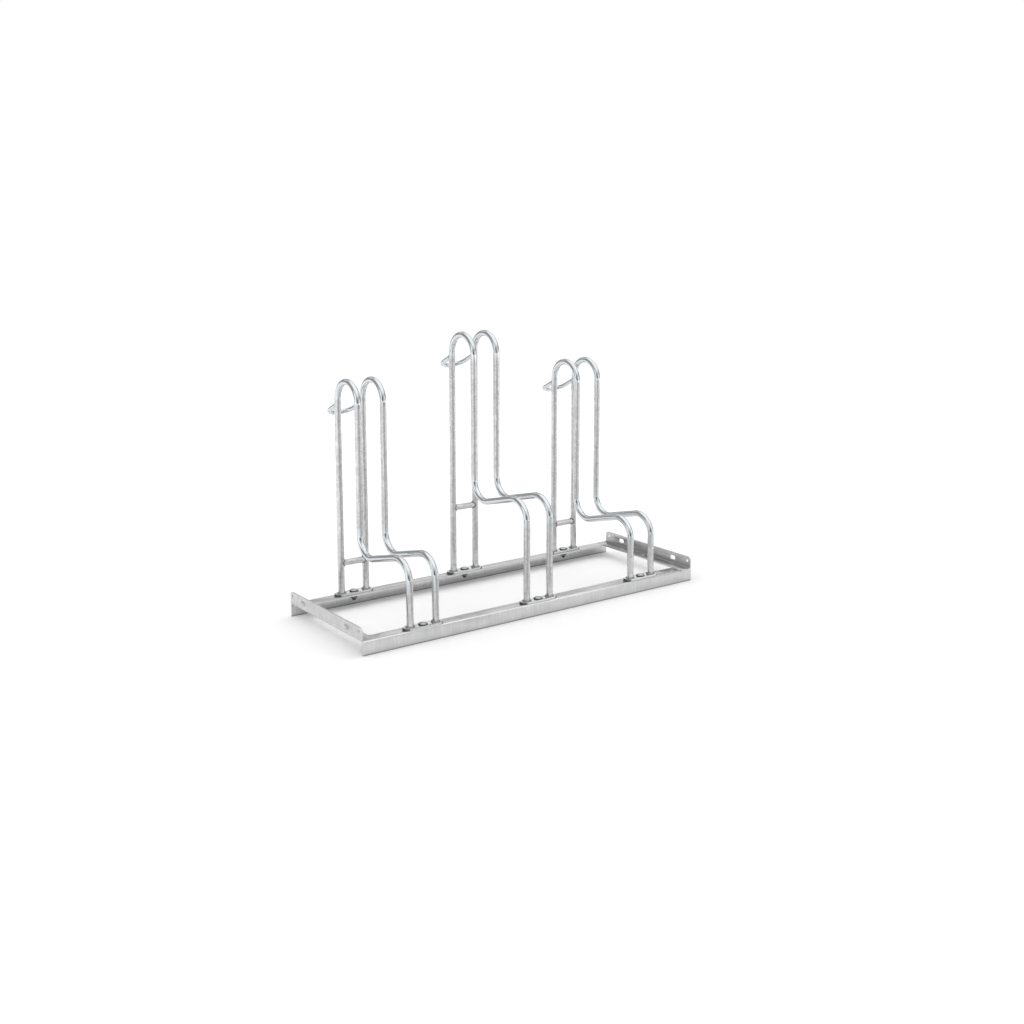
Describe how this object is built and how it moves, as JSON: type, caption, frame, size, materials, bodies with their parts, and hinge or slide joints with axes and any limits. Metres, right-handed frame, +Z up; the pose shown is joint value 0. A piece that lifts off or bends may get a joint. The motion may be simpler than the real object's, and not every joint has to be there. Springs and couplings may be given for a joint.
{
  "type": "floor bicycle rack",
  "caption": "Galvanised steel floor rack that holds bicycle wheels between bent tube hoops at two heights, on a frame of steel angle.",
  "frame": {"origin": "on the floor, under the middle of the whole rack's box, lock bows included", "axes": "+X along the rack to the right as seen from the front, +Y from the front, where a wheel rolls in, to the rear, +Z up"},
  "size_m": [1.05, 0.4312, 0.7079],
  "materials": {
    "rail_zinc": "hot-dip galvanised, matt with a faint mottle",
    "tube_zinc": "hot-dip galvanised, bright where the tube is bent",
    "plate_zinc": "hot-dip galvanised, bright",
    "rod_zinc": "hot-dip galvanised, matt",
    "weld_zinc": "hot-dip galvanised weld bead, dull and uneven",
    "fastener_zinc": "hot-dip galvanised fastener, dull"
  },
  "bodies": {
    "root": {"front_rail": "rail_zinc", "rear_rail": "rail_zinc", "left_end_rail": "rail_zinc", "right_end_rail": "rail_zinc", "corner_welds": "weld_zinc", "left_front_foot_plate": "plate_zinc", "left_rear_foot_plate": "plate_zinc", "middle_front_foot_plate": "plate_zinc", "middle_rear_foot_plate": "plate_zinc", "right_front_foot_plate": "plate_zinc", "right_rear_foot_plate": "plate_zinc", "left_holder_left_hoop": "tube_zinc", "left_holder_right_hoop": "tube_zinc", "middle_holder_left_hoop": "tube_zinc", "middle_holder_right_hoop": "tube_zinc", "right_holder_left_hoop": "tube_zinc", "right_holder_right_hoop": "tube_zinc", "left_holder_crossbar": "rod_zinc", "middle_holder_crossbar": "rod_zinc", "right_holder_crossbar": "rod_zinc", "left_holder_lock_bow": "rod_zinc", "middle_holder_lock_bow": "rod_zinc", "right_holder_lock_bow": "rod_zinc", "foot_welds": "weld_zinc", "crossbar_welds": "weld_zinc", "lock_bow_welds": "weld_zinc", "coach_bolts": "fastener_zinc", "washers": "fastener_zinc", "hex_nuts": "fastener_zinc"}
  },
  "joints": []
}
